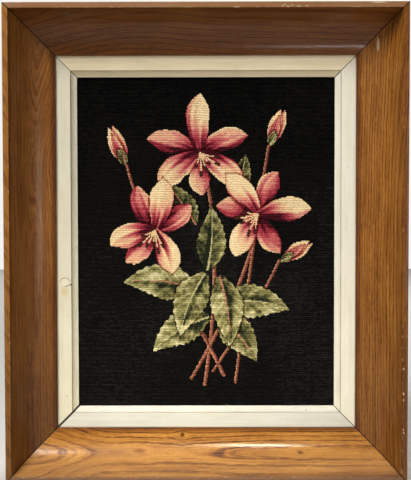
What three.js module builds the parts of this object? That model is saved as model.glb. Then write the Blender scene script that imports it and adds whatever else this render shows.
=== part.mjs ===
// A framed tapestry: four rails of a scooped hardwood moulding, four rails of a painted slip
// that sits in their rebate, and the woven cloth, stretched flat in the slip's own rebate.
// Millimetres, +Z up. The picture faces -Y, and the origin is the middle of the bottom.
import * as THREE from 'three';

// ---------------------------------------------------------------------------
// Driving dimensions
// ---------------------------------------------------------------------------

const FRAME_WIDTH = 500;
const FRAME_HEIGHT = 594;
const FRAME_DEPTH = 68;

// The moulding, from its outer side inwards.
const RAIL_WIDTH = 57;
const RIM_WIDTH = 7.2;
const SCOOP_DEPTH = 50;
const LIP_THICKNESS = 3.2;
const REBATE_WIDTH = 7;

// The slip, whose flat face shows inside the lip.
const SLIP_FLAT = 18.6;
const SLIP_BEVEL = 7.5;
const BEVEL_DROP = 7.6;
const SLIP_THICKNESS = 14;
const NIB_THICKNESS = 1.6;
const CLOTH_REBATE_WIDTH = 8;

// The cloth, whose margin is hidden behind the slip.
const CLOTH_THICKNESS = 2;
const CLOTH_MARGIN = 7.5;

// Neighbours stay this far apart: face to face, and at the sides of a rebate.
const GAP = 0.3;
const SIDE_PLAY = 0.5;

const COVE_SEGMENTS = 24;

// ---------------------------------------------------------------------------
// Places that follow from them: insets from the frame's outer side, and depths behind the rim
// ---------------------------------------------------------------------------

const rebateInset = RAIL_WIDTH - REBATE_WIDTH;
const slipInset = rebateInset + SIDE_PLAY;
const ridgeInset = RAIL_WIDTH + SLIP_FLAT;
const sightInset = ridgeInset + SLIP_BEVEL;
const clothInset = sightInset - CLOTH_MARGIN;

const lipBack = SCOOP_DEPTH + LIP_THICKNESS;
const slipFront = lipBack + GAP;
const sightDepth = slipFront + BEVEL_DROP;
const nibBack = sightDepth + NIB_THICKNESS;
const slipBack = slipFront + SLIP_THICKNESS;
const clothFront = nibBack + GAP;

// ---------------------------------------------------------------------------
// Finishes
// ---------------------------------------------------------------------------

const stainedWood = () => new THREE.MeshStandardMaterial({ color: 0x7a4a24, roughness: 0.35, metalness: 0 });
const creamPaint = () => new THREE.MeshStandardMaterial({ color: 0xe6ddc4, roughness: 0.55, metalness: 0 });
const wovenWool = () => new THREE.MeshStandardMaterial({ color: 0x14110f, roughness: 0.95, metalness: 0 });

// ---------------------------------------------------------------------------
// Sections, drawn with the inset as x and the depth as y
// ---------------------------------------------------------------------------

// The scoop is a quarter of an ellipse that leaves the rim straight back and reaches the lip flat.
function railSection() {
  const section = new THREE.Shape();
  section.moveTo(0, 0);
  section.lineTo(RIM_WIDTH, 0);
  section.absellipse(RAIL_WIDTH, 0, RAIL_WIDTH - RIM_WIDTH, SCOOP_DEPTH, Math.PI, Math.PI / 2, true);
  section.lineTo(RAIL_WIDTH, lipBack);
  section.lineTo(rebateInset, lipBack);
  section.lineTo(rebateInset, FRAME_DEPTH);
  section.lineTo(0, FRAME_DEPTH);
  section.closePath();
  return section;
}

// A flat face that runs under the lip, a bevel down to the sight edge, and a rebate behind the nib.
function slipSection() {
  const section = new THREE.Shape();
  section.moveTo(slipInset, slipFront);
  section.lineTo(ridgeInset, slipFront);
  section.lineTo(sightInset, sightDepth);
  section.lineTo(sightInset, nibBack);
  section.lineTo(sightInset - CLOTH_REBATE_WIDTH, nibBack);
  section.lineTo(sightInset - CLOTH_REBATE_WIDTH, slipBack);
  section.lineTo(slipInset, slipBack);
  section.closePath();
  return section;
}

// ---------------------------------------------------------------------------
// Mitred lengths
// ---------------------------------------------------------------------------

// A length of a section whose ends are cut at 45 degrees: the longer the inset, the shorter it is.
function mitredLength(section, outerLength) {
  const geometry = new THREE.ExtrudeGeometry(section, {
    depth: 1,
    steps: 1,
    bevelEnabled: false,
    curveSegments: COVE_SEGMENTS,
  });
  const sawnAway = (GAP / 2) * Math.SQRT2;
  const place = geometry.attributes.position;
  for (let i = 0; i < place.count; i += 1) {
    const end = place.getZ(i) > 0.5 ? 1 : -1;
    place.setZ(i, end * (outerLength / 2 - place.getX(i) - sawnAway));
  }
  geometry.computeVertexNormals();
  return geometry;
}

// The bottom length stands with its inset up and its depth towards the back.
const lying = new THREE.Matrix4().makeBasis(
  new THREE.Vector3(0, 0, 1),
  new THREE.Vector3(0, 1, 0),
  new THREE.Vector3(-1, 0, 0),
);

// Each side of the frame is the bottom one turned about the middle of the picture.
const sides = [
  { side: 'bottom', turn: 0, outerLength: FRAME_WIDTH, reach: FRAME_HEIGHT / 2 },
  { side: 'left', turn: 1, outerLength: FRAME_HEIGHT, reach: FRAME_WIDTH / 2 },
  { side: 'top', turn: 2, outerLength: FRAME_WIDTH, reach: FRAME_HEIGHT / 2 },
  { side: 'right', turn: 3, outerLength: FRAME_HEIGHT, reach: FRAME_WIDTH / 2 },
];

function addSides(group, name, section, material) {
  for (const { side, turn, outerLength, reach } of sides) {
    const geometry = mitredLength(section, outerLength);
    geometry.applyMatrix4(lying);
    geometry.translate(0, 0, -reach);
    const mesh = new THREE.Mesh(geometry, material());
    mesh.name = `${name}_${side}`;
    mesh.rotation.y = (turn * Math.PI) / 2;
    group.add(mesh);
  }
}

// ---------------------------------------------------------------------------
// The framed tapestry, built about the middle of the picture at the rim, then stood on its bottom
// ---------------------------------------------------------------------------

const picture = new THREE.Group();
picture.position.set(0, -FRAME_DEPTH / 2, FRAME_HEIGHT / 2);

addSides(picture, 'rail', railSection(), stainedWood);
addSides(picture, 'slip', slipSection(), creamPaint);

const cloth = new THREE.Mesh(
  new THREE.BoxGeometry(FRAME_WIDTH - 2 * clothInset, CLOTH_THICKNESS, FRAME_HEIGHT - 2 * clothInset),
  wovenWool(),
);
cloth.name = 'tapestry';
cloth.position.y = clothFront + CLOTH_THICKNESS / 2;
picture.add(cloth);

const framedTapestry = new THREE.Group();
framedTapestry.add(picture);

export default framedTapestry;
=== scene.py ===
import math
import bmesh
import bpy
import numpy as np
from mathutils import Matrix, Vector


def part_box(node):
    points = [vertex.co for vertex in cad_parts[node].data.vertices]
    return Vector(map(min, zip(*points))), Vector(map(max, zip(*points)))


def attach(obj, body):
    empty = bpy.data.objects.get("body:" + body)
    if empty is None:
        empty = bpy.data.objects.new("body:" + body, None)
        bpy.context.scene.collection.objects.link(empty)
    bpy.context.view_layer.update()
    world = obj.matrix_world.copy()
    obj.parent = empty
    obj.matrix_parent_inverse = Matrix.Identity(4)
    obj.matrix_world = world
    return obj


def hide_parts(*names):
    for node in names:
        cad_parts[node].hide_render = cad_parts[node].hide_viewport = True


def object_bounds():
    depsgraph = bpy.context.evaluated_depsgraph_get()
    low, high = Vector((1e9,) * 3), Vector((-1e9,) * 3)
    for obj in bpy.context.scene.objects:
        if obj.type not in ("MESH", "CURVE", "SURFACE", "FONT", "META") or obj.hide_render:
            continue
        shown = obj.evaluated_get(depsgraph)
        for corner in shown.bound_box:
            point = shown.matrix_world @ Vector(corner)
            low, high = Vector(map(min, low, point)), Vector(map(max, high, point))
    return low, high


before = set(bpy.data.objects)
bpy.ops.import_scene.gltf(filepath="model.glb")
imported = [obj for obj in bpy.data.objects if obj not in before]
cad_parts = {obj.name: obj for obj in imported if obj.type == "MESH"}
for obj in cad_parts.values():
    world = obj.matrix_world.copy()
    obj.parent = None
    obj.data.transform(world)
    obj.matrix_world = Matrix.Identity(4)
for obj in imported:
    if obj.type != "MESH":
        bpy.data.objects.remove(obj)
cad_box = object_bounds()

# ---------------------------------------------------------------------------
# Sizes, in metres: those of the pieces, read from the frame, and then those of the two sections
# ---------------------------------------------------------------------------

LOW, HIGH = cad_box
WIDTH = HIGH.x - LOW.x
HEIGHT = HIGH.z - LOW.z
FRONT = LOW.y
DEPTH = HIGH.y - LOW.y
RAIL_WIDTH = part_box("rail_bottom")[1].z - LOW.z
SLIP_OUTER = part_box("slip_bottom")[0].z - LOW.z
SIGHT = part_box("slip_bottom")[1].z - LOW.z
SLIP_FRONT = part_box("slip_bottom")[0].y - FRONT
SLIP_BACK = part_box("slip_bottom")[1].y - FRONT
CLOTH_LOW, CLOTH_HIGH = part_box("tapestry")

MM = 0.001

# The rail: its flat rim, the depth of its scoop, its lip's thickness, the rebate behind the lip
RIM = 0.0072
SCOOP = 0.050
LIP = 0.0032
RAIL_REBATE = 0.007

# The slip: its bevel's width, the step before it and its fall, the edge that meets the cloth
BEVEL = 0.0075
BEVEL_STEP = 0.0012
BEVEL_FALL = 0.0076
NIB = 0.0016
CLOTH_REBATE = 0.008
SIGHT_DEPTH = SLIP_FRONT + BEVEL_FALL

# What the saw takes at each end of a length, and the angle from which two faces meet in an edge
SAW_MARK = 0.003 * MM
EDGE_ANGLE = math.radians(32)

# How the bevel's curve is pulled hollow: shares of its width and of its fall
BEVEL_PULL = (0.28, 0.62)


# ---------------------------------------------------------------------------
# Shader sums. Places in a finish are in millimetres, and shares and tones go from 0 to 1.
# ---------------------------------------------------------------------------

class Amount:
    """A number, colour or direction inside a finish. Arithmetic on it adds Math nodes."""

    def __init__(self, finish, socket):
        self.finish = finish
        self.socket = socket

    def maths(self, operation, *terms):
        return self.finish.node("ShaderNodeMath", {"operation": operation}, dict(enumerate(terms)))

    def size(self):
        return self.maths("ABSOLUTE", self)

    def fraction(self):
        return self.maths("FRACT", self)

    def __add__(self, other):
        return self.maths("ADD", self, other)

    __radd__ = __add__

    def __sub__(self, other):
        return self.maths("SUBTRACT", self, other)

    def __rsub__(self, other):
        return self.maths("SUBTRACT", other, self)

    def __mul__(self, other):
        return self.maths("MULTIPLY", self, other)

    __rmul__ = __mul__

    def __truediv__(self, other):
        return self.maths("DIVIDE", self, other)

    def __pow__(self, other):
        return self.maths("POWER", self, other)


class Finish:
    """One material, worked out by expressions on Amounts."""

    def __init__(self, name):
        self.material = bpy.data.materials.new(name)
        self.material.use_nodes = True
        self.tree = self.material.node_tree
        self.shader = self.tree.nodes["Principled BSDF"]

    def join(self, value, socket):
        """Feeds a socket with an Amount, or sets it to a plain value."""
        if isinstance(value, Amount):
            self.tree.links.new(value.socket, socket)
        else:
            socket.default_value = value

    def node(self, kind, settings, values, out=0):
        """Any node: its settings first, then what its sockets take, by name or number."""
        made = self.tree.nodes.new(kind)
        for key, value in settings.items():
            if key == "stops":
                stops = made.color_ramp.elements
                while len(stops) < len(value):
                    stops.new(1)
                for stop, (place, colour) in zip(stops, value):
                    stop.position = place
                    stop.color = (*colour, 1)
            else:
                setattr(made, key, value)
        for key, value in values.items():
            self.join(value, made.inputs[key])
        return Amount(self, made.outputs[out])

    def surface(self, **values):
        for key, value in values.items():
            self.join(value, self.shader.inputs[key.replace("_", " ")])

    def point(self):
        """The place on the object, as three Amounts in millimetres."""
        place = self.node("ShaderNodeTexCoord", {}, {}, out="Object")
        return [
            self.node("ShaderNodeSeparateXYZ", {}, {0: place}, out=axis) * (1 / MM)
            for axis in range(3)
        ]

    def vector(self, x, y, z):
        return self.node("ShaderNodeCombineXYZ", {}, {0: x, 1: y, 2: z})

    def noise(self, x, y, z, detail=2.0):
        """Soft lumps, one to each unit of x, y and z."""
        values = {"Vector": self.vector(x, y, z), "Scale": 1.0, "Detail": detail}
        return self.node("ShaderNodeTexNoise", {}, values)

    def step(self, value, low, high):
        """0 below low, 1 above high, smooth between. low may be the larger, which turns it round."""
        values = {"Value": value, "From Min": low, "From Max": high}
        return self.node("ShaderNodeMapRange", {"interpolation_type": "SMOOTHSTEP"}, values)

    def ramp(self, value, stops):
        """A colour read off a ladder of (place, colour) stops."""
        return self.node("ShaderNodeValToRGB", {"stops": stops}, {0: value})

    def mix(self, share, first, second, how="MIX"):
        """The first colour with a share of the second laid over it."""
        first, second = [c if isinstance(c, Amount) else (*c, 1) for c in (first, second)]
        settings = {"data_type": "RGBA", "blend_type": how}
        return self.node("ShaderNodeMix", settings, {0: share, 6: first, 7: second}, out=2)

    def bump(self, height, distance):
        """A slope of the surface. A height of 1 stands up by the distance, in metres."""
        return self.node("ShaderNodeBump", {}, {"Height": height, "Distance": distance})


# ---------------------------------------------------------------------------
# The four sides, each the bottom one turned about the middle of the picture
# ---------------------------------------------------------------------------

class Side:
    """Where a length of moulding lies: along it, inwards from its outer side, and back from the rim."""

    def __init__(self, name, along, inwards, reach, outer_length):
        self.name = name
        self.along = np.array(along, float)
        self.inwards = np.array(inwards, float)
        self.reach = reach
        self.outer_length = outer_length

    def place(self, along, inset, depth):
        """The points of the frame at some places of the length, in metres."""
        middle = np.array([0, FRONT, LOW.z + HEIGHT / 2])
        return (
            middle
            + np.multiply.outer(along, self.along)
            + np.multiply.outer(inset - self.reach, self.inwards)
            + np.multiply.outer(depth, [0, 1, 0])
        )


SIDES = [
    # name, along, inwards, from the middle to its outer side, its outer length
    Side("bottom", (1, 0, 0), (0, 0, 1), HEIGHT / 2, WIDTH),
    Side("left", (0, 0, -1), (1, 0, 0), WIDTH / 2, HEIGHT),
    Side("top", (-1, 0, 0), (0, 0, -1), HEIGHT / 2, WIDTH),
    Side("right", (0, 0, 1), (-1, 0, 0), WIDTH / 2, HEIGHT),
]


# ---------------------------------------------------------------------------
# Mouldings
# ---------------------------------------------------------------------------

def softened(corners, steps=4):
    """A closed section whose corners, (inset, depth, softness), are eased by a short curve."""
    section = []
    for i, (x, y, soft) in enumerate(corners):
        here = np.array([x, y])
        if not soft:
            section.append(here)
            continue
        ends = []
        for other in (corners[i - 1], corners[(i + 1) % len(corners)]):
            way = np.array(other[:2]) - here
            ends.append(here + way / np.linalg.norm(way) * soft)
        for t in np.linspace(0, 1, steps + 1):
            section.append((1 - t) ** 2 * ends[0] + 2 * t * (1 - t) * here + t**2 * ends[1])
    return np.array(section)


def rail_section(segments=36):
    """The scooped moulding: side, rim, a quarter of an ellipse down to the lip, rebate and back."""
    lip_back = SCOOP + LIP
    turns = np.linspace(math.pi, math.pi / 2, segments + 1)[1:-1]
    scoop = [
        (RAIL_WIDTH + (RAIL_WIDTH - RIM) * math.cos(a), SCOOP * math.sin(a), 0) for a in turns
    ]
    return softened([
        (0, 0, 1.1 * MM),
        (RIM, 0, 0.7 * MM),
        *scoop,
        (RAIL_WIDTH, SCOOP, 0.6 * MM),
        (RAIL_WIDTH, lip_back, 0.2 * MM),
        (RAIL_WIDTH - RAIL_REBATE, lip_back, 0),
        (RAIL_WIDTH - RAIL_REBATE, DEPTH, 0.4 * MM),
        (0, DEPTH, 0.9 * MM),
    ])


def slip_section(segments=8):
    """The slip: a flat face, a small step, a hollow bevel down to the sight edge, and the rebate."""
    ridge = SIGHT - BEVEL
    start = np.array([ridge, SLIP_FRONT + BEVEL_STEP])
    end = np.array([SIGHT, SIGHT_DEPTH])
    pull = start + (end - start) * BEVEL_PULL
    bevel = [
        (*((1 - t) ** 2 * start + 2 * t * (1 - t) * pull + t**2 * end), 0)
        for t in np.linspace(0, 1, segments + 1)[:-1]
    ]
    return softened([
        (SLIP_OUTER, SLIP_FRONT, 0),
        (ridge - 0.3 * MM, SLIP_FRONT, 0.25 * MM),
        *bevel,
        (SIGHT, SIGHT_DEPTH, 0.3 * MM),
        (SIGHT, SIGHT_DEPTH + NIB, 0),
        (SIGHT - CLOTH_REBATE, SIGHT_DEPTH + NIB, 0),
        (SIGHT - CLOTH_REBATE, SLIP_BACK, 0),
        (SLIP_OUTER, SLIP_BACK, 0),
    ])


def mesh_piece(name, points, faces, material):
    mesh = bpy.data.meshes.new(name)
    mesh.from_pydata(points.tolist(), [], faces)
    mesh.materials.append(material)
    mesh.update()
    piece = bpy.data.objects.new(name, mesh)
    bpy.context.scene.collection.objects.link(piece)
    return piece


def mitred_length(name, side, section, material, stations=40):
    """A length of moulding between two 45 degree mitres, a saw mark short of them."""
    half = side.outer_length / 2 - section[:, 0] - SAW_MARK
    inset, depth = section.T
    rings = [side.place(half * t, inset, depth) for t in np.linspace(-1, 1, stations)]
    count = len(section)

    def corner(ring, i):
        return ring * count + i % count

    faces = [
        (corner(ring, i), corner(ring, i + 1), corner(ring + 1, i + 1), corner(ring + 1, i))
        for ring in range(stations - 1)
        for i in range(count)
    ]
    faces.append(tuple(range(count))[::-1])
    faces.append(tuple(range((stations - 1) * count, stations * count)))
    piece = mesh_piece(name, np.concatenate(rings), faces, material)
    face_outwards(piece)
    piece.data.set_sharp_from_angle(angle=EDGE_ANGLE)
    return piece


def face_outwards(piece):
    """Smooth shading, with all faces turned outwards."""
    shape = bmesh.new()
    shape.from_mesh(piece.data)
    bmesh.ops.recalc_face_normals(shape, faces=shape.faces)
    for face in shape.faces:
        face.smooth = True
    shape.to_mesh(piece.data)
    shape.free()


# ---------------------------------------------------------------------------
# Stained hardwood
# ---------------------------------------------------------------------------

BROWNS = [
    (0.00, (0.072, 0.017, 0.002)),
    (0.33, (0.175, 0.053, 0.006)),
    (0.64, (0.330, 0.126, 0.017)),
    (1.00, (0.620, 0.300, 0.064)),
]
SHADE_BLACK = (0.0, 0.0, 0.0)
DUST_AND_SHEEN = (0.50, 0.34, 0.22)
WORN_STAIN = (0.56, 0.34, 0.20)
BARE_HARDWOOD = (0.66, 0.50, 0.33)
RAW_HARDWOOD = (0.62, 0.42, 0.23)
RAIL_JOINT = (0.010, 0.004, 0.001)

# Each side's stain colour also holds painted shade and light: the top length darkest and the bottom one
# lightest, as light falls on them.
RAIL_WOOD = {
    "bottom": dict(
        cut=dict(
            heart=27, below=-4.2, sway=3, start=1.0, fan=(-138, 70),
            bends=[(-250, 0.14), (-140, -0.14), (0, -0.065), (60, 0.065)],
        ),
        ring_width=5.2, line=0.80, stain_and_shade=(0.90, 0.88, 0.72), gloss=0.30, seed=1.7,
        lip_tone=-0.40, rim_tone=-0.58, dust_and_sheen=0.20,
        knots=[
            (-31, 48, 4, 4, 0.95), (121, 27, 6, 2.8, 0.65), (-86, 29, 12, 3.6, 0.36),
            (-190, 27, 4, 2.6, 0.5), (17, 26.5, 14, 2.2, 0.35),
        ],
    ),
    "left": dict(
        cut=dict(heart=92, below=46, sway=3, straight=12, bends=[(0, -0.16), (100, 0.42)]),
        ring_width=3.0, line=0.38, stain_and_shade=(0.53, 0.45, 0.41), gloss=0.18, seed=5.2,
        lip_tone=-0.46, rim_tone=0.04, bars=0.50, lower_shade=0.44,
    ),
    "top": dict(
        cut=dict(heart=120, below=74, sway=5, bends=[(-250, -0.45), (-85, 0.80), (0, -0.30)]),
        ring_width=6.4, line=0.36, stain_and_shade=(0.33, 0.24, 0.15), gloss=0.28, seed=9.1,
        rim_tone=0.60, bars=0.15, rim_wear=0.26,
        marks=[
            (94, 5.4, 2.2, 2.0), (97, 4.0, 2.0, 1.4), (101, 6.2, 4.4, 1.2), (106, 4.6, 1.8, 1.6),
            (114, 6.0, 5.0, 1.1), (124, 5.6, 2.2, 1.4), (212, 1.4, 16.0, 1.3), (38, 6.8, 8.0, 1.0),
        ],
    ),
    "right": dict(
        cut=dict(heart=-60, below=20, sway=4, bends=[(-297, -0.08), (-40, 0.20)]),
        ring_width=3.2, line=0.66, stain_and_shade=(0.67, 0.59, 0.52), gloss=0.22, seed=12.6,
        lip_tone=-0.36, rim_tone=-0.24, bars=0.08, lower_shade=0.30,
        marks=[
            # The first mark, a pale streak down the scoop near the top, is partly a chip rubbed bare and
            # partly a painted highlight.
            (252, 31, 15, 2.6), (-155, 5.5, 2.4, 1.4), (-186, 5.5, 3.0, 1.8),
            (-194, 5.5, 2.2, 1.3), (-231, 5.5, 2.2, 1.3), (-235, 5, 2.4, 1.5),
        ],
    ),
}


def board_place(finish, side):
    """The place in a length's own board: from its middle, inwards from the outer side, and back."""
    x, y, z = finish.point()
    depth = y - FRONT / MM
    middle = HEIGHT / 2 / MM
    if side.name == "bottom":
        return x, z - LOW.z / MM, depth
    if side.name == "top":
        return x, HIGH.z / MM - z, depth
    if side.name == "left":
        return z - middle, x - LOW.x / MM, depth
    return z - middle, HIGH.x / MM - x, depth


def near(f, value, place, width):
    """1 at a place and 0 from width away."""
    return f.step((value - place).size(), width, 0.0)


def around(f, along, across, spot):
    """1 in the middle of an oval spot, and 0 from its edge. The spot is (along, across, length, width)."""
    middle, centre, length, width = spot
    lengthwise = (along - middle) * (1 / length)
    sideways = (across - centre) * (1 / width)
    return f.step((lengthwise * lengthwise + sideways * sideways) ** 0.5, 1.0, 0.0)


def mitre_line(f, side, along, inset, widths):
    """1 on the saw cuts at a length's two ends. widths: of the lower or left cut, then of the other."""
    reach = side.outer_length / 2 / MM - inset
    low, high = [
        f.step(reach + along * way, width, width * 0.55) for way, width in zip((1, -1), widths)
    ]
    return low + high


def swell(value):
    """0 while a value is well below 0, the value itself well above it, and a soft bend between."""
    softness = 12
    return (value + (value * value + softness**2) ** 0.5) * 0.5


def growth(
    f, along, inset, depth, knots, seed,
    heart, below, bends, sway, start=0.0, straight=-90, fan=(-400, 70),
):
    """How far out in the tree a place lies. Lines of equal growth make the figure of the board.

    The tree's heart runs at the inset heart, and below says how deep under the face. Each bend,
    (along, slope), takes it deeper from its place on. Out to the inset straight, the lines run
    straight. Before the fan, (along, reach), they spread, to twice as far apart a reach away. sway
    is how far they wander, and start moves them all.
    """
    flow = inset
    for middle, centre, length, width, _ in knots:
        beside = inset - centre
        parted = around(f, along, inset, (middle, centre, length * 4, width * 5))
        flow = flow - parted * beside / (beside.size() + 1.5) * width
    for place, slope in bends:
        below = swell(along - place) * slope + below
    below = below * f.step(inset, straight, straight + 24)
    fan_place, reach = fan
    outer_side = depth * f.step(inset, 1.5, 0.3)
    sideways = (flow - outer_side - heart) * reach / (swell(fan_place - along) + reach)
    radius = (sideways * sideways + below * below) ** 0.5
    wide = (f.noise(along / 110, inset / 30, depth / 30 + seed) - 0.5) * sway
    fine = (f.noise(along / 16, inset / 4, depth / 4) - 0.5) * 0.8
    return radius + wide + fine + start


def stained_wood(
    side, cut, ring_width, line, stain_and_shade, gloss, seed,
    lip_tone=0.0, rim_tone=0.0, bars=0.0, rim_wear=0.0, lower_shade=0.0, dust_and_sheen=0.0, knots=(), marks=(),
):
    """Open-grained hardwood: dark early wood, pores along the grain, stain, lacquer and wear.

    cut is how the board was sawn, as growth() takes it, and line how dark its rings are.
    stain_and_shade is the stain together with painted shade and light, darkest on the top length and
    lightest on the bottom one. The tones lighten the lip and the rim, or darken them below 0, and bars
    lighten slanted bands of the rim. rim_wear pales the rim, dust_and_sheen pales the outer part with
    dust and a painted sheen, and lower_shade paints shade over the lower end. knots are
    (along, across, length, width, darkness) and marks, rubbed bare, (along, across, length, width).
    """
    f = Finish(f"stained_wood_{side.name}")
    along, inset, depth = board_place(f, side)

    # Dark early wood at the start of each ring, in broken lines, and thin lines between the rings
    radius = growth(f, along, inset, depth, knots, seed, **cut)
    turns = radius / ring_width
    season = f.noise(turns / 1.3, seed, along / 260, detail=1)
    broken = f.noise(along / 13 + seed, inset / 1.6, depth / 1.6)
    ring = turns.fraction()
    early = f.step(ring, 0.34, 0.05) * f.step(ring, 0.0, 0.06)
    early = early * (f.step(season, 0.30, 0.58) * 0.75 + 0.25)
    early = early * (f.step(broken, 0.34, 0.54) * 0.65 + 0.35)
    thirds = turns * 3.0
    between = (thirds + 0.4).fraction()
    thin = f.step(between, 0.50, 0.12) * f.step(between, 0.0, 0.12) * f.step(broken, 0.40, 0.56)
    thin = thin * f.step(f.noise(thirds, seed, along / 150, detail=0), 0.42, 0.62)

    # The tone of the wood, from its finest grain to its broadest clouds, and its lip and rim
    streaks = f.noise(radius / 0.9, seed, along / 45)
    fibre = f.noise(along / 30 + seed, inset / 0.9, depth / 0.9, detail=3)
    pores = f.step(f.noise(along / 7 + seed, inset / 0.9, depth / 0.9, detail=1), 0.56, 0.66)
    blotch = f.noise(along / 80 + seed, inset / 20, depth / 20, detail=3)
    tone = 0.82 - early * line - thin * line * 0.55 - pores * 0.15
    tone = tone + (fibre - 0.5) * 0.36 + (streaks - 0.5) * 0.52
    tone = tone + (season - 0.5) * 0.30 + (blotch - 0.5) * 0.42
    for *spot, darkness in knots:
        tone = tone - around(f, along, inset, spot) * darkness
    lip = f.step(inset, (RAIL_WIDTH - 9 * MM) / MM, RAIL_WIDTH / MM)
    rim = f.step(inset, (RIM + 0.4 * MM) / MM, (RIM - 0.4 * MM) / MM) * f.step(depth, 1.0, 0.5)
    slanted = f.noise((along + inset * 1.8) / 16 + seed, 0.0, 0.0, detail=1)
    tone = tone + lip * lip_tone + rim * (f.step(slanted, 0.44, 0.54) * bars + rim_tone)

    # Stain, which on each side also holds painted shade and light, and what lies on it
    colour = f.ramp(tone, BROWNS)
    colour = f.mix(1.0, colour, stain_and_shade, how="MULTIPLY")
    # Painted shade over the lower end of the side
    colour = f.mix(f.step(along, 60, -260) * lower_shade, colour, SHADE_BLACK)
    # Dust, with a painted sheen, paling the outer part
    colour = f.mix(f.step(inset, 38, 8) * dust_and_sheen, colour, DUST_AND_SHEEN)
    colour = f.mix(rim * (0.4 + blotch * 1.2) * rim_wear, colour, WORN_STAIN)

    # Wood rubbed bare on the edges and at the marks, the raw back, and the joints
    nicks = f.noise(along / 7, inset / 3 + seed, depth / 3, detail=3)
    rubbed = near(f, inset, RIM / MM, 1.3) * near(f, depth, 0.0, 1.3) * f.step(nicks, 0.56, 0.68)
    rubbed = rubbed + near(f, inset, 0.0, 1.2) * near(f, depth, 0.0, 1.2) * f.step(nicks, 0.60, 0.70)
    for mark in marks:
        rubbed = rubbed + f.step(around(f, along, inset, mark), 0.2, 0.6)
    colour = f.mix(rubbed * 0.75, colour, BARE_HARDWOOD)
    raw = f.step(depth, DEPTH / MM - 0.9, DEPTH / MM - 0.2)
    colour = f.mix(raw * 0.62, colour, RAW_HARDWOOD)
    mitre = mitre_line(f, side, along, inset, (1.1, 1.1))
    colour = f.mix(mitre, colour, RAIL_JOINT)

    grain = f.bump(pores * -0.7 - early * 0.5, 0.12 * MM)
    f.surface(
        Base_Color=colour,
        Roughness=0.38 + pores * 0.2 + (blotch - 0.5) * 0.16 + raw * 0.4,
        Normal=grain,
        Specular_IOR_Level=0.22,
        Coat_Weight=(1 - mitre) * gloss,
        Coat_Roughness=0.14,
    )
    return f.material


# ---------------------------------------------------------------------------
# Cream paint
# ---------------------------------------------------------------------------

CREAMS = [
    (0.15, (0.54, 0.48, 0.33)),
    (0.42, (0.68, 0.64, 0.51)),
    (0.75, (0.76, 0.73, 0.61)),
]
KNOT_HEART = (0.80, 0.78, 0.62)
KNOT_EDGE = (0.36, 0.26, 0.13)
RESIN = (0.60, 0.40, 0.13)
CRACK = (0.05, 0.035, 0.02)
PIN_HOLE = (0.14, 0.09, 0.05)
SHADE_AND_DIRT = (0.26, 0.19, 0.10)
SPECK = (0.20, 0.14, 0.07)
RAW_SOFTWOOD = (0.52, 0.38, 0.21)
SLIP_JOINT = (0.012, 0.008, 0.004)

SLIP_PAINT = {
    "bottom": dict(tint_and_light=(0.91, 0.94, 1.03), cuts=(2.5, 0.9), pins=[(130, 78)]),
    "left": dict(
        tint_and_light=(0.99, 0.98, 0.93), cuts=(2.4, 0.8), knots=[(-51, 67, 7.2, 8.4)], pins=[(-199, 68.5)],
    ),
    "top": dict(tint_and_light=(1.18, 1.08, 0.88), cuts=(0.7, 0.8)),
    "right": dict(tint_and_light=(1.14, 1.15, 1.17), cuts=(0.9, 0.8)),
}


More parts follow.
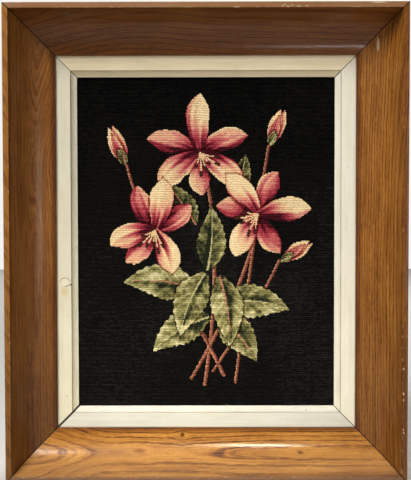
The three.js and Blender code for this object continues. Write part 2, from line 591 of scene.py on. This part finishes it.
def cream_paint(side, tint_and_light, cuts, knots=(), pins=()):
    """Thin cream paint on softwood: the grain and a knot show, and painted shade and dirt lie in the step
    and against the lip.

    cuts are the widths of the two mitre lines, knots (along, across, length, width), and pins the
    (along, across) of pin holes.
    """
    f = Finish(f"cream_paint_{side.name}")
    along, inset, depth = board_place(f, side)
    ridge = (SIGHT - BEVEL) / MM

    # Grain that parts round the knots, brush marks, and clouds of thinner paint
    flow = inset
    for knot in knots:
        flow = flow + around(f, along, inset, (*knot[:2], 26, 9)) * 4
    lines = f.noise(along / 120, flow / 1.5, depth / 4)
    brush = f.noise(along / 45, inset / 0.8, depth / 0.8)
    cloud = f.noise(along / 45, inset / 12, depth / 12, detail=3)
    tone = 0.5 + (lines - 0.5) * 0.55 + (brush - 0.5) * 0.20 + (cloud - 0.5) * 0.55
    colour = f.ramp(tone, CREAMS)
    # Each side's tint is partly a tint of the paint and partly painted light and shade: the right and top
    # slips brighter, the bottom one dimmer.
    colour = f.mix(1.0, colour, tint_and_light, how="MULTIPLY")

    # A knot under the paint: its pale heart and dark edge, resin, and a crack that ends in a hole
    for knot in knots:
        middle, centre = knot[:2]
        heart = around(f, along, inset, knot)
        colour = f.mix(f.step(heart, 0.1, 0.3) * 0.3, colour, KNOT_HEART)
        edge = f.step(heart, 0.0, 0.12) * f.step(heart, 0.42, 0.16)
        edge = edge * f.step(along, middle - 4, middle + 6)
        colour = f.mix(edge * (cloud * 1.1 + 0.2), colour, KNOT_EDGE)
        bleed = around(f, along, inset, (middle - 12, centre - 1, 11, 9))
        colour = f.mix(bleed * (lines * 1.2 - 0.1), colour, RESIN)
        crack = near(f, along - (inset - centre) * 0.4, middle - 6.2, 1.0)
        crack = crack * f.step(inset, centre - 0.5, centre + 1.0)
        crack = crack * f.step(inset, ridge + 0.2, ridge - 0.8)
        crack_end = around(f, along, inset, (middle - 3.2, ridge - 0.8, 2.0, 1.7))
        colour = f.mix((crack + f.step(crack_end, 0.1, 0.5)) * 0.9, colour, CRACK)
    for pin in pins:
        hole = f.step(around(f, along, inset, (*pin, 1.3, 1.1)), 0.1, 0.6)
        colour = f.mix(hole * 0.8, colour, PIN_HOLE)

    # Painted shade and dirt in the step, a painted shadow against the lip, specks, the raw back, and the
    # joints
    patchiness = f.noise(along / 25, inset / 9, depth / 9, detail=3)
    shade_and_dirt = near(f, inset, ridge + 0.25, 0.8) * (0.35 + patchiness * 0.5)
    shade_and_dirt = shade_and_dirt + near(f, inset, RAIL_WIDTH / MM, 1.6) * 0.35
    colour = f.mix(shade_and_dirt, colour, SHADE_AND_DIRT)
    specks = f.step(f.noise(along / 1.7, inset / 1.7, depth / 1.7, detail=0), 0.80, 0.84)
    colour = f.mix(specks * patchiness * 0.8, colour, SPECK)
    raw = f.step(depth, (SLIP_BACK - 0.3 * MM) / MM, SLIP_BACK / MM)
    colour = f.mix(raw * 0.8, colour, RAW_SOFTWOOD)
    colour = f.mix(mitre_line(f, side, along, inset, cuts), colour, SLIP_JOINT)

    f.surface(
        Base_Color=colour,
        Roughness=0.5 + (cloud - 0.5) * 0.2 + raw * 0.3,
        Normal=f.bump(brush * 0.6 + lines * 0.6, 0.07 * MM),
        Specular_IOR_Level=0.4,
    )
    return f.material


# ---------------------------------------------------------------------------
# The tapestry: the weaver's drawing
# ---------------------------------------------------------------------------

# The cloth's ribs, each of two passes of weft, its stitches across, and how deep the ribs are
RIBS = 148
PASSES = 2 * RIBS
COLUMNS = 332
RIB_DEPTH = 0.5 * MM

# How far the ribbed sheet lies behind the front of the cloth that the frame holds
SHEET_BACK = 0.2 * MM

# How many random values there are each way before drift() repeats them
LUMPS = 64

# How many points stand for a bent line when the stitches beside it are found
SPINE_POINTS = 41

# What is left of the red, green and blue of a stitch in the shade round a petal and round a leaf
PETAL_SHADE = (0.50, 0.24, 0.22)
LEAF_SHADE = (0.32, 0.30, 0.24)


def dyed(red, green, blue):
    """A yarn colour given as shop colours out of 255, as the light it sends back."""
    return np.array([((c / 255 + 0.055) / 1.055) ** 2.4 for c in (red, green, blue)])


PINKS = np.array([
    dyed(64, 18, 26),
    dyed(124, 36, 50),
    dyed(168, 58, 70),
    dyed(198, 98, 98),
    dyed(218, 140, 124),
    dyed(232, 176, 142),
    dyed(240, 202, 154),
    dyed(246, 220, 172),
])
GREENS = np.array([
    dyed(34, 38, 26),
    dyed(62, 64, 42),
    dyed(96, 94, 56),
    dyed(130, 124, 76),
    dyed(160, 154, 102),
    dyed(190, 182, 130),
    dyed(220, 210, 164),
])
STEM_BROWNS = np.array([
    dyed(70, 36, 28),
    dyed(120, 66, 50),
    dyed(162, 98, 76),
    dyed(196, 140, 112),
])
BLACKS = np.array([
    dyed(4, 4, 4),
    dyed(15, 14, 13),
    dyed(29, 27, 27),
    dyed(50, 46, 46),
])


def drift(a, b, seed):
    """Soft random values, 0 to 1, one lump to each unit of a and b. Adding to a or b moves the lumps."""
    lumps = np.random.RandomState(seed).rand(LUMPS, LUMPS)
    i, j = np.floor(a).astype(int), np.floor(b).astype(int)
    u, v = a - i, b - j
    u, v = u * u * (3 - 2 * u), v * v * (3 - 2 * v)
    i, next_i = i % LUMPS, (i + 1) % LUMPS
    j, next_j = j % LUMPS, (j + 1) % LUMPS
    low = lumps[i, j] * (1 - u) + lumps[next_i, j] * u
    high = lumps[i, next_j] * (1 - u) + lumps[next_i, next_j] * u
    return low * (1 - v) + high * v


def eased(value, low, high):
    """0 at low, 1 at high, smooth between. low may be the larger, which turns it round."""
    t = np.clip((value - low) / (high - low), 0, 1)
    return t * t * (3 - 2 * t)


class Cartoon:
    """The weaver's drawing: one colour for each stitch of each pass, laid from back to front."""

    def __init__(self, width, height):
        self.all_x, self.all_z = np.meshgrid(
            (np.arange(COLUMNS) + 0.5) / COLUMNS * width - width / 2,
            (np.arange(PASSES) + 0.5) / PASSES * height - height / 2,
        )

        # How yarns of two tones mix: pass by pass, stitch by stitch, and in floats of four stitches
        passes = np.arange(PASSES)[:, None]
        draws = np.random.RandomState(4)
        fleck = draws.rand(PASSES, COLUMNS) - 0.5
        floats = np.repeat(draws.rand(PASSES, COLUMNS // 4), 4, axis=1) - 0.5
        hatch = np.where(passes // 2 % 2, 0.22, -0.22) + np.where(passes % 2, 0.10, -0.10)
        self.unevenness = hatch + fleck * 0.45 + floats * 0.5
        self.colour = np.zeros((PASSES, COLUMNS, 3))
        self.covered = np.zeros((PASSES, COLUMNS), bool)

        # The ground, with painted light that makes it a little lighter towards the bottom
        self.look_at([(-width, -height), (width, height)], 0)
        cloud = drift(self.x / 60 + 9, self.z / 60 + 9, 2)
        bars = drift(self.x / 6 + 29, self.z / 2.1 + 99, 3)
        bars = bars + drift(self.x / 2.3 + 79, self.z / 9 + 29, 5)
        painted_light_below = 0.30 * eased(0.5 - self.z / height, 0.0, 0.6)
        ground = painted_light_below + 0.24 * cloud * bars - 0.27 * hatch
        self.lay(np.ones_like(self.x, bool), BLACKS, ground, 1.35)
        self.covered[:] = False

    def look_at(self, points, margin):
        """Works only on the stitches near some points, until it is told again."""
        low, high = np.min(points, 0) - margin, np.max(points, 0) + margin
        rows = np.flatnonzero((self.all_z[:, 0] > low[1]) & (self.all_z[:, 0] < high[1]))
        columns = np.flatnonzero((self.all_x[0] > low[0]) & (self.all_x[0] < high[0]))
        self.part = slice(rows[0], rows[-1] + 1), slice(columns[0], columns[-1] + 1)
        self.x, self.z = self.all_x[self.part], self.all_z[self.part]

    def lay(self, where, yarns, tone, mixing):
        """Fills a shape with the yarns of a ladder, dark at 0 to light at 1, hatched into each other."""
        step = np.clip(tone, 0, 1) * (len(yarns) - 1) + mixing * self.unevenness[self.part]
        step = np.clip(np.round(step), 0, len(yarns) - 1).astype(int)
        self.colour[self.part][where] = yarns[step[where]]
        self.covered[self.part] |= where

    def beside(self, spine, reach):
        """How far along a bent line each stitch lies, 0 to 1 and past its ends, and how far to its left."""
        start, pull, end = (np.array(p, float) for p in spine)
        self.look_at([start, (start + 2 * pull + end) / 4, end], reach)
        t = np.linspace(0, 1, SPINE_POINTS)
        points = np.outer((1 - t) ** 2, start) + np.outer(2 * t * (1 - t), pull) + np.outer(t**2, end)
        slopes = np.outer(2 * (1 - t), pull - start) + np.outer(2 * t, end - pull)
        gap = (self.x[..., None] - points[:, 0]) ** 2 + (self.z[..., None] - points[:, 1]) ** 2
        nearest = gap.argmin(-1)
        speed = np.hypot(slopes[:, 0], slopes[:, 1])[nearest]
        tangent = slopes[nearest] / speed[..., None]
        off = np.stack([self.x, self.z], -1) - points[nearest]
        along = t[nearest] + (off * tangent).sum(-1) / speed
        left = tangent[..., 0] * off[..., 1] - tangent[..., 1] * off[..., 0]
        return along, left

    def blade(self, spine, width, fullest, neck, point):
        """A petal or leaf on a bent line: places along it, across it from -1 to 1, and what it covers."""
        along, left = self.beside(spine, width * 0.6)
        rise = neck + (1 - neck) * np.sin(np.clip(along / fullest, 0, 1) * math.pi / 2)
        fall = 1 - np.clip((along - fullest) / (1 - fullest), 0, 1) ** point
        half = width / 2 * np.where(along < fullest, rise, fall) + 0.01
        across = left / half
        return along, across, half, (along > -0.02) & (along < 1) & (np.abs(across) < 1)

    def shade_beneath(self, along, across, half, inside, shade):
        """Darkens what is already drawn in a narrow line round a new petal or leaf."""
        close = (along > -0.02) & (along < 1.04) & (np.abs(across) < 1 + 1.7 / half)
        self.colour[self.part][close & ~inside & self.covered[self.part]] *= shade

    def petal(self, spine, width, deep, pale, turned, seed, fullest=0.60, point=2.2):
        """Wine at the root and cream at the tip, veined, with one side turned into shade."""
        along, across, half, inside = self.blade(spine, width, fullest, 0.28, point)
        ruffle = 0.16 * (drift(along * 6 + 9, np.sign(across) * 3 + 9, seed) - 0.5)
        inside &= np.abs(across) < 0.95 + ruffle
        self.shade_beneath(along, across, half, inside, PETAL_SHADE)
        veins = drift(across * 4.2 + 20, along * 1.3 + seed, seed + 30) - 0.5
        lit = 1 if turned < 0 else -1
        tone = deep + (pale - deep) * eased(along + 0.26 * veins, -0.02, 0.74)
        tone = tone - 0.34 * np.exp(-(across / 0.17) ** 2) * (1.05 - along)
        tone = tone + 0.50 * veins * (1 - 0.6 * along)
        fold = -across * lit + 0.5 * (drift(along * 4 + 3, along * 0 + seed, seed + 7) - 0.5)
        tone = tone - 0.8 * abs(turned) * eased(fold, 0.08, 0.55)
        tone = tone + 0.26 * eased(across * lit, 0.72, 0.92) * eased(along, 0.1, 0.45)
        tone = tone - 0.30 * eased(-across * lit, 0.80, 0.92) * eased(along, 0.95, 0.6)
        self.lay(inside, PINKS, tone, 0.8)

    def leaf(self, spine, width, deep, pale, seed, fullest=0.38):
        """Marbled green with a light midrib, side veins and a darker half."""
        along, across, half, inside = self.blade(spine, width, fullest, 0.25, 1.6)
        inside &= np.abs(across) < 0.95 + 0.05 * np.sin(along * 60 + np.sign(across))
        self.shade_beneath(along, across, half, inside, LEAF_SHADE)
        marble = drift(self.x / 10 + 20, self.z / 7 + 20 + seed, seed + 50)
        fine = drift(self.x / 3.2 + 40, self.z / 2.6 + 40, seed + 51)
        side_veins = np.sin((along * 7.5 - np.abs(across) * 1.9) * 2 * math.pi)
        tone = deep + (pale - deep) * (0.05 + 1.1 * marble) + 0.34 * (fine - 0.5)
        tone = tone + 0.15 * eased(side_veins, 0.3, 1.0)
        tone = tone + 0.20 * eased(np.abs(across), 0.55, 0.95)
        tone = tone - 0.40 * np.exp(-((across - 0.18) / 0.16) ** 2) * eased(along, 1.05, 0.6)
        tone = tone - 0.24 * eased(across, -0.1, 0.25) * eased(along, 1.0, 0.2)
        tone = tone - 0.36 * eased(along, 0.24, 0.0)
        self.lay(inside, GREENS, tone, 0.9)
        midrib = inside & (np.abs(across * half) < 1.1 * (1.2 - along)) & (along < 0.93)
        self.lay(midrib, STEM_BROWNS if seed % 3 == 0 else GREENS, np.full_like(tone, 0.84), 0.5)

    def stem(self, spine, width):
        """A plain stem, drawn from its top down, light on the left and dark on the right."""
        along, left = self.beside(spine, width)
        inside = (along > 0) & (along < 1) & (np.abs(left) < width / 2)
        self.lay(inside, STEM_BROWNS, 0.55 - left / width * 0.9, 0.6)


def heading(root, degrees, length, bend):
    """A bent line from a root: it sets out at degrees, and its tip swings off by bend."""
    a, b = math.radians(degrees), math.radians(degrees + bend)
    root = np.array(root, float)
    pull = root + 0.55 * length * np.array([math.cos(a), math.sin(a)])
    return root, pull, pull + 0.5 * length * np.array([math.cos(b), math.sin(b)])


def lily(cartoon, centre, facing, petals, seed):
    """Six petals, and six stamens that lean the way the flower faces."""
    for i, (degrees, length, bend, width, deep, pale, turned) in enumerate(petals):
        cartoon.petal(heading(centre, degrees, length, bend), width, deep, pale, turned, seed + i)
    for off, length in STAMENS:
        spine = heading(centre, facing + off, length, off * 0.5)
        along, left = cartoon.beside(spine, 9)
        light = np.full_like(along, 0.9)
        thread = (along > 0) & (along < 1) & (np.abs(left) < 0.8)
        cartoon.lay(thread, PINKS, light, 0.4)
        tip = (along > 0.9) & (along < 1.25) & (np.abs(left) < 2)
        cartoon.lay(tip, STEM_BROWNS, light * 0.1, 0.3)


def bud(cartoon, root, degrees, size, seed):
    """Three furled petals and two sepals at their root, in shares of the bud's size."""
    for i, (turn, length, bend, width, deep, pale, turned, fullest, point) in enumerate(BUD_PETALS):
        spine = heading(root, degrees + turn, size * length, bend)
        cartoon.petal(spine, size * width, deep, pale, turned, seed + i, fullest, point)
    for i, (turn, length, bend, deep, pale) in enumerate(BUD_SEPALS):
        spine = heading(root, degrees + turn, size * length, bend)
        cartoon.leaf(spine, size * 0.18, deep, pale, seed + 1 + i, fullest=0.35)


def bouquet(width, height):
    """The colours of all the stitches: stems, then leaves, lilies and buds in front of them."""
    cartoon = Cartoon(width, height)
    for spine, thickness in STEMS:
        cartoon.stem(spine, thickness)
    for root, degrees, length, bend, breadth, deep, pale, seed in LEAVES:
        cartoon.leaf(heading(root, degrees, length, bend), breadth, deep, pale, seed)
    for centre, facing, petals, seed in LILIES:
        lily(cartoon, centre, facing, petals, seed)
    for root, degrees, size, seed in BUDS:
        bud(cartoon, root, degrees, size, seed)
    return cartoon.colour


# Places are (across, up) from the middle of the cloth, in millimetres. Degrees go from the right
# round by the top. deep and pale are a petal's tones at its root and tip, or the darkest and the
# lightest of a leaf. turned is how much of a petal lies in shade, and its sign says on which side.
STEMS = [
    # (top, pull, foot), thickness
    (((-6, 110), (26, 0), (-2, -188)), 4.4),
    (((-70, 20), (-34, -60), (24, -176)), 4.2),
    (((70, 30), (50, -60), (-20, -180)), 4.4),
    (((-104, 104), (-76, 0), (12, -150)), 3.4),
    (((82, 128), (64, 20), (38, -186)), 3.6),
    (((96, -22), (70, -80), (8, -170)), 3.4),
]
LEAVES = [
    # root, degrees, length, bend, width, deep, pale, seed
    ((-14, 24), 118, 66, 20, 32, 0.05, 0.50, 90),
    ((34, 60), 60, 56, 26, 28, 0.05, 0.50, 91),
    ((2, -34), 78, 78, 18, 40, 0.10, 0.62, 92),
    ((-16, -62), 158, 92, 34, 50, 0.22, 0.86, 93),
    ((22, -78), 8, 86, -30, 46, 0.18, 0.80, 94),
    ((2, -98), 196, 84, 34, 44, 0.22, 0.86, 95),
    ((16, -96), 322, 76, -26, 44, 0.20, 0.84, 96),
    ((-2, -42), 236, 84, 26, 46, 0.24, 0.90, 97),
    ((18, -46), 288, 88, -22, 44, 0.22, 0.88, 99),
]
LILIES = [
    # centre, the way it faces, petals (degrees, length, bend, width, deep, pale, turned), seed
    ((-8, 116), 300, [
        (152, 70, 28, 31, 0.05, 0.62, 0.5),
        (36, 66, -34, 31, 0.05, 0.66, -0.5),
        (262, 54, 24, 28, 0.10, 0.74, 0.3),
        (98, 74, -18, 32, 0.12, 1.05, 0.3),
        (206, 68, 30, 34, 0.10, 1.05, -0.35),
        (334, 70, -30, 34, 0.12, 1.05, 0.4),
    ], 10),
    ((-66, 16), 250, [
        (126, 62, -28, 30, 0.05, 0.60, 0.4),
        (24, 56, 26, 28, 0.08, 0.62, 0.5),
        (238, 56, -24, 28, 0.06, 0.72, -0.4),
        (74, 66, 16, 32, 0.14, 1.05, -0.3),
        (182, 62, 34, 33, 0.10, 1.0, 0.4),
        (304, 60, -28, 32, 0.12, 1.05, -0.3),
    ], 30),
    ((68, 36), 215, [
        (78, 60, -28, 29, 0.05, 0.62, -0.4),
        (158, 54, 24, 28, 0.08, 0.60, 0.4),
        (288, 56, 26, 28, 0.05, 0.68, 0.5),
        (120, 64, 18, 32, 0.12, 1.05, 0.3),
        (18, 68, -26, 33, 0.12, 1.0, -0.4),
        (226, 62, 32, 32, 0.10, 1.05, 0.3),
    ], 50),
]
STAMENS = [
    # degrees off the way the flower faces, length
    (-36, 16), (-21, 24), (-7, 20), (9, 16), (22, 24), (36, 20),
]
BUDS = [
    # root, degrees, size, seed
    ((-105, 102), 112, 50, 70),
    ((83, 126), 70, 48, 80),
    ((98, -24), 32, 44, 84),
]
BUD_PETALS = [
    # turn, length, bend, width, deep, pale, turned, fullest, point
    (-9, 1.0, 12, 0.34, 0.20, 0.80, 0.4, 0.5, 1.8),
    (8, 0.97, -10, 0.36, 0.15, 1.0, -0.3, 0.5, 1.8),
    (0, 0.8, 4, 0.22, 0.05, 0.6, 0.2, 0.45, 1.6),
]
BUD_SEPALS = [
    # turn, length, bend, deep, pale
    (14, 0.42, -24, 0.3, 0.7),
    (-16, 0.40, 26, 0.2, 0.6),
]


# ---------------------------------------------------------------------------
# The tapestry: the cloth
# ---------------------------------------------------------------------------

def woven_wool():
    """Wool weft packed over the warps: each face has its yarn's colour, with thread and fuzz on it, and
    painted shade darkens the valleys between the ribs.
    """
    f = Finish("woven_wool")
    x, y, z = f.point()
    yarn = f.node("ShaderNodeAttribute", {"attribute_name": "yarn"}, {}, out="Color")
    rib = f.node("ShaderNodeAttribute", {"attribute_name": "rib"}, {}, out="Fac")
    threads = f.noise(x / 0.55, y, z / 1.6, detail=1)
    fuzz = f.noise(x / 0.25, y, z / 0.25)
    soiled = f.noise(x / 80, y, z / 80)
    packed = f.noise(x / 2.6, y, z / 1.7, detail=1)
    # The rib term is painted shade: darker in the valleys between the ribs, lighter on their crests.
    tone = 0.68 + rib * 0.32 + (threads - 0.5) * 0.55 + (soiled - 0.5) * 0.25 + (packed - 0.5) * 0.55
    shade = f.node("ShaderNodeCombineColor", {}, {0: tone, 1: tone, 2: tone})
    colour = f.mix(1.0, yarn, shade, how="MULTIPLY")
    rounded = rib * (2.0 - rib) - rib
    height = rounded * 0.35 + threads * 0.16 + fuzz * 0.05
    f.surface(
        Base_Color=colour,
        Roughness=0.9 + (threads - 0.5) * 0.1,
        Normal=f.bump(height, 1.0 * MM),
        Specular_IOR_Level=0.04,
    )
    return f.material


def weave():
    """One sheet of ribbed cloth, a row of faces to each half rib, with the drawing's yarns on them."""
    low, high = CLOTH_LOW, CLOTH_HIGH
    width = high.x - low.x
    height = high.z - low.z
    across, up = np.meshgrid(np.linspace(0, 1, COLUMNS + 1), np.linspace(0, 1, PASSES + 1))
    crest = np.broadcast_to((np.arange(PASSES + 1) % 2)[:, None], up.shape).astype(float)

    # The cloth is held at its edges. Inside them its ribs wander, swell and thin, and it bellies.
    edge = np.minimum(np.minimum(across, 1 - across) * width, np.minimum(up, 1 - up) * height)
    free = eased(edge / MM, 9.0, 45.0)
    wander = (drift(across * 36 + 3, up * 60 + 3, 21) - 0.5) * 1.2
    wander = wander + (drift(across * 3 + 5, up * 9 + 5, 22) - 0.5) * 1.6
    belly = (drift(across * 3.1 + 7, up * 3.7 + 7, 23) - 0.5) * 1.6
    thick = 0.5 + 0.8 * drift(across * 61 + 3, up * 61 + 3, 24)
    x = low.x + across * width
    z = low.z + up * height + wander * free * MM
    y = low.y + SHEET_BACK + RIB_DEPTH * (1 - crest * thick) + belly * free * MM

    # The outermost points are turned back to the depth of the cloth's back
    y = np.where(edge <= 0, high.y, y)
    points = np.stack([x, y, z], -1).reshape(-1, 3)
    rows, columns = np.meshgrid(np.arange(PASSES), np.arange(COLUMNS), indexing="ij")
    corner = (rows * (COLUMNS + 1) + columns).ravel()
    faces = np.stack([corner, corner + 1, corner + COLUMNS + 2, corner + COLUMNS + 1], -1)
    cloth = mesh_piece("woven_panel", points, faces.tolist(), woven_wool())
    drawing = bouquet(width / MM, height / MM)
    opaque = np.ones((len(faces), 1))
    yarn = cloth.data.attributes.new("yarn", "FLOAT_COLOR", "FACE")
    colours = np.concatenate([drawing.reshape(-1, 3), opaque], 1)
    yarn.data.foreach_set("color", colours.ravel().astype(np.float32))
    rib = cloth.data.attributes.new("rib", "FLOAT", "POINT")
    rib.data.foreach_set("value", crest.ravel().astype(np.float32))
    return cloth


# ---------------------------------------------------------------------------
# Camera, floor and light
# ---------------------------------------------------------------------------

# The camera's place from the middle of the rim's plane, in half widths of the frame, and how far
# it turns down, rolls and turns to the left, in radians
CAMERA_RIGHT = 0.0126
CAMERA_AWAY = 4.4361
CAMERA_UP = 0.1693
LOOK_DOWN = 0.0335
ROLL = 0.0016
TURN = 0.0033


def set_camera():
    """Just above the middle of the picture, close in front of it, looking a little down."""
    data = bpy.data.cameras.new("camera")
    data.sensor_width = 36.0
    data.lens = 67.5
    camera = bpy.data.objects.new("camera", data)
    half_width = WIDTH / 2
    camera.location = (
        CAMERA_RIGHT * half_width,
        FRONT - CAMERA_AWAY * half_width,
        LOW.z + HEIGHT / 2 + CAMERA_UP * half_width,
    )
    camera.rotation_euler = (math.pi / 2 - LOOK_DOWN, ROLL, TURN)
    bpy.context.scene.collection.objects.link(camera)
    bpy.context.scene.camera = camera


FLOOR_REACH = 4.0
FLOOR_DARK = (0.66, 0.65, 0.63)
FLOOR_LIGHT = (0.71, 0.70, 0.68)


def lay_floor():
    """A pale square that the frame stands on."""
    f = Finish("pale_floor")
    x, y, _ = f.point()
    cloud = f.noise(x / 300, y / 300, 0.0)
    f.surface(Base_Color=f.mix(cloud, FLOOR_DARK, FLOOR_LIGHT), Roughness=0.8)
    corners = [(-1, -1), (1, -1), (1, 1), (-1, 1)]
    points = np.array([(right * FLOOR_REACH, back * FLOOR_REACH, LOW.z) for right, back in corners])
    floor = mesh_piece("floor", points, [(0, 1, 2, 3)], f.material)


# The surround's brightness as it is seen and as it lights the frame, its colour, and the lamps
WORLD_SEEN = 0.90
WORLD_LIGHT = 0.12
WORLD_COLOUR = (1.0, 0.99, 0.97, 1)
LAMPS = [
    # name, place, aim, size, power in watts, spread in degrees, colour
    ("key", (-1.02, -1.50, 2.15), (0, 0, 0.2), (0.7, 1.0), 8.3, 60, (1.0, 0.97, 0.93)),
    ("fill", (1.05, -1.5, 0.32), (0, 0, 0.3), (0.6, 0.5), 0.55, 60, (1.0, 0.98, 0.95)),
    ("back", (0.6, 2.6, 2.3), (0, 2.0, 0), (4.0, 1.0), 60, 150, (1.0, 0.98, 0.95)),
    ("strip", (0.15, -1.33, 1.08), (-0.04, 0, 0.03), (0.22, 0.13), 0.29, 24, (1.0, 0.93, 0.72)),
    ("low", (0.50, -1.42, 0.155), (0.2, 0, 0.54), (0.7, 0.10), 0.07, 24, (1.0, 0.93, 1.0)),
]


def add_lamp(name, place, aim, size, power, spread, colour):
    """A rectangle of light that points from its place at its aim."""
    data = bpy.data.lights.new(name, "AREA")
    data.shape = "RECTANGLE"
    data.size, data.size_y = size
    data.energy = power
    data.spread = math.radians(spread)
    data.color = colour
    lamp = bpy.data.objects.new(name, data)
    lamp.location = place
    lamp.rotation_euler = (Vector(aim) - Vector(place)).to_track_quat("-Z", "Y").to_euler()
    bpy.context.scene.collection.objects.link(lamp)


def light_studio():
    """A white surround that the camera sees bright and the object is lit by weakly, and the lamps."""
    world = bpy.data.worlds.new("studio")
    bpy.context.scene.world = world
    world.use_nodes = True
    nodes, links = world.node_tree.nodes, world.node_tree.links
    seen = nodes.new("ShaderNodeLightPath").outputs["Is Camera Ray"]
    strength = nodes.new("ShaderNodeMapRange")
    strength.inputs["To Min"].default_value = WORLD_LIGHT
    strength.inputs["To Max"].default_value = WORLD_SEEN
    links.new(seen, strength.inputs["Value"])
    links.new(strength.outputs[0], nodes["Background"].inputs["Strength"])
    nodes["Background"].inputs["Color"].default_value = WORLD_COLOUR
    for lamp in LAMPS:
        add_lamp(*lamp)
    bpy.context.scene.view_settings.view_transform = "Standard"


# ---------------------------------------------------------------------------
# Making
# ---------------------------------------------------------------------------

set_camera()

rails = rail_section()
slips = slip_section()
for side in SIDES:
    wood = stained_wood(side, **RAIL_WOOD[side.name])
    rail = mitred_length(f"hardwood_{side.name}", side, rails, wood)
    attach(rail, "root")
    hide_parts(f"rail_{side.name}")
    paint = cream_paint(side, **SLIP_PAINT[side.name])
    slip = mitred_length(f"painted_{side.name}", side, slips, paint)
    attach(slip, "root")
    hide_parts(f"slip_{side.name}")

cloth = weave()
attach(cloth, "root")
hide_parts("tapestry")

lay_floor()
light_studio()
